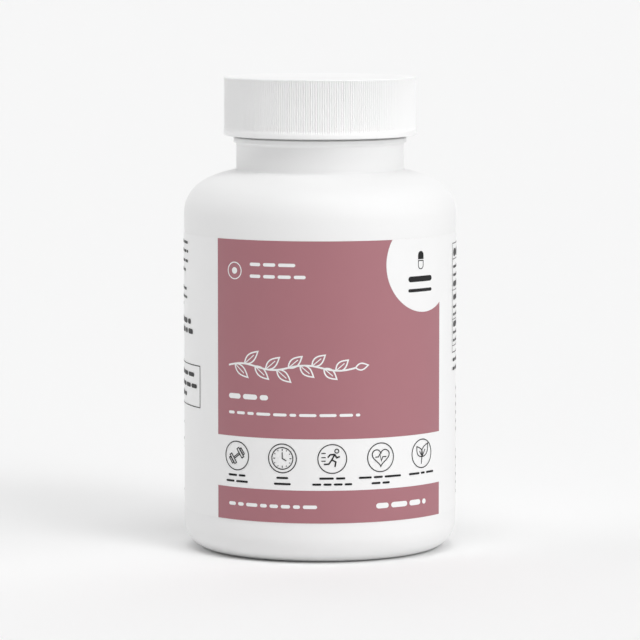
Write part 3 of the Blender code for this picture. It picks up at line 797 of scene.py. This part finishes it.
def capsule_ends(node):
    """The two tips of a capsule's CAD solid, with the tip of its wider half last."""
    points = np.array([node.matrix_world @ vertex.co for vertex in node.data.vertices])
    middle = points.mean(axis=0)
    first = points[np.argmax(np.linalg.norm(points - middle, axis=1))]
    second = points[np.argmax(np.linalg.norm(points - first, axis=1))]
    axis = (second - first) / np.linalg.norm(second - first)
    out = points - first - np.outer((points - first) @ axis, axis)
    wide = np.linalg.norm(out, axis=1) > (CAPSULE_CAP_RADIUS + CAPSULE_BODY_RADIUS) / 2
    along = ((points - first) @ axis)[wide].mean()
    if along < np.linalg.norm(second - first) / 2:
        first, second = second, first
    return Vector(first), Vector(second)


def capsule_mesh(length):
    """A two-part capsule standing on its narrower half, with the wider half's edge round its middle."""
    seam = length - CAPSULE_CAP_LENGTH
    profile = arc(0, CAPSULE_BODY_RADIUS, CAPSULE_BODY_RADIUS, -90, 0, 8)
    profile += [(CAPSULE_BODY_RADIUS, seam), (CAPSULE_CAP_RADIUS - CAPSULE_LIP / 3, seam)]
    profile += [(CAPSULE_CAP_RADIUS, seam + CAPSULE_LIP)]
    profile += arc(0, length - CAPSULE_CAP_RADIUS, CAPSULE_CAP_RADIUS, 0, 90, 8)
    profile[0] = (0.0, 0.0)
    profile[-1] = (0.0, length)
    return turned("capsule_shell", profile, CAPSULE_STEPS)


def build_capsules(materials):
    nodes = [name for name in sorted(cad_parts) if name.startswith("capsule_")]
    mesh = None
    for name in nodes:
        low, high = capsule_ends(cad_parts[name])
        if mesh is None:
            mesh = capsule_mesh((high - low).length)
        piece = new_piece("fine_" + name, mesh, materials["capsule"], "bottle")
        turn = (high - low).to_track_quat("Z", "Y").to_matrix().to_4x4()
        piece.matrix_world = Matrix.Translation(low) @ turn
        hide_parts(name)


def dress_canister(materials):
    for name in ("desiccant_cup", "desiccant_lid"):
        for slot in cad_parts[name].material_slots:
            slot.material = materials["canister"]


# --- Stage ---

def build_floor():
    bm = bmesh.new()
    bmesh.ops.create_grid(bm, x_segments=2, y_segments=2, size=FLOOR_SIZE / 2)
    mesh = bpy.data.meshes.new("floor")
    bm.to_mesh(mesh)
    bm.free()
    material = bpy.data.materials.new("floor")
    material.use_nodes = True
    shader = material.node_tree.nodes["Principled BSDF"]
    shader.inputs["Base Color"].default_value = (FLOOR_COLOR, FLOOR_COLOR, FLOOR_COLOR, 1.0)
    shader.inputs["Roughness"].default_value = 1.0
    shader.inputs["Specular IOR Level"].default_value = 0.0
    mesh.materials.append(material)
    floor = bpy.data.objects.new("floor", mesh)
    bpy.context.scene.collection.objects.link(floor)


def build_sky():
    """An even sky that brightens to the floor's own level at the horizon."""
    world = bpy.data.worlds.new("studio")
    world.use_nodes = True
    tree = world.node_tree
    direction = tree.nodes.new("ShaderNodeTexCoord").outputs["Generated"]
    split = tree.nodes.new("ShaderNodeSeparateXYZ")
    tree.links.new(direction, split.inputs["Vector"])
    fade = tree.nodes.new("ShaderNodeMapRange")
    low, high = (math.sin(math.radians(angle)) for angle in HORIZON_BAND)
    fade.inputs["From Min"].default_value = low
    fade.inputs["From Max"].default_value = high
    fade.inputs["To Min"].default_value = HORIZON_LEVEL
    fade.inputs["To Max"].default_value = SKY_LEVEL
    tree.links.new(split.outputs["Z"], fade.inputs["Value"])
    tree.links.new(fade.outputs["Result"], tree.nodes["Background"].inputs["Strength"])
    tree.nodes["Background"].inputs["Color"].default_value = (1.0, 1.0, 1.0, 1.0)
    bpy.context.scene.world = world


def build_lamps():
    """Distant lamps as wide as soft boxes, so that the floor is evenly lit wherever the camera looks."""
    for name, turn, height, strength, width in LAMPS:
        lamp = bpy.data.lights.new(name, "SUN")
        lamp.energy = strength
        lamp.angle = math.radians(width)
        holder = bpy.data.objects.new(name, lamp)
        bpy.context.scene.collection.objects.link(holder)
        flat = math.cos(math.radians(height))
        towards = Vector((math.sin(math.radians(turn)) * flat, -math.cos(math.radians(turn)) * flat,
                          math.sin(math.radians(height))))
        holder.rotation_euler = towards.to_track_quat("Z", "Y").to_euler()


def build_camera():
    lens = bpy.data.cameras.new("camera")
    lens.lens = CAMERA_LENS
    lens.clip_end = CAMERA_REACH
    camera = bpy.data.objects.new("camera", lens)
    camera.location = CAMERA_PLACE
    camera.rotation_euler = (math.radians(90 - CAMERA_PITCH), 0, 0)
    bpy.context.scene.collection.objects.link(camera)
    bpy.context.scene.camera = camera
    bpy.context.scene.view_settings.view_transform = "Standard"


def main():
    build_camera()
    build_floor()
    build_sky()
    build_lamps()
    materials = make_materials()
    thread_z = build_bottle(materials)
    build_cap(materials, thread_z)
    build_label(materials)
    build_seals(materials)
    build_capsules(materials)
    dress_canister(materials)


main()
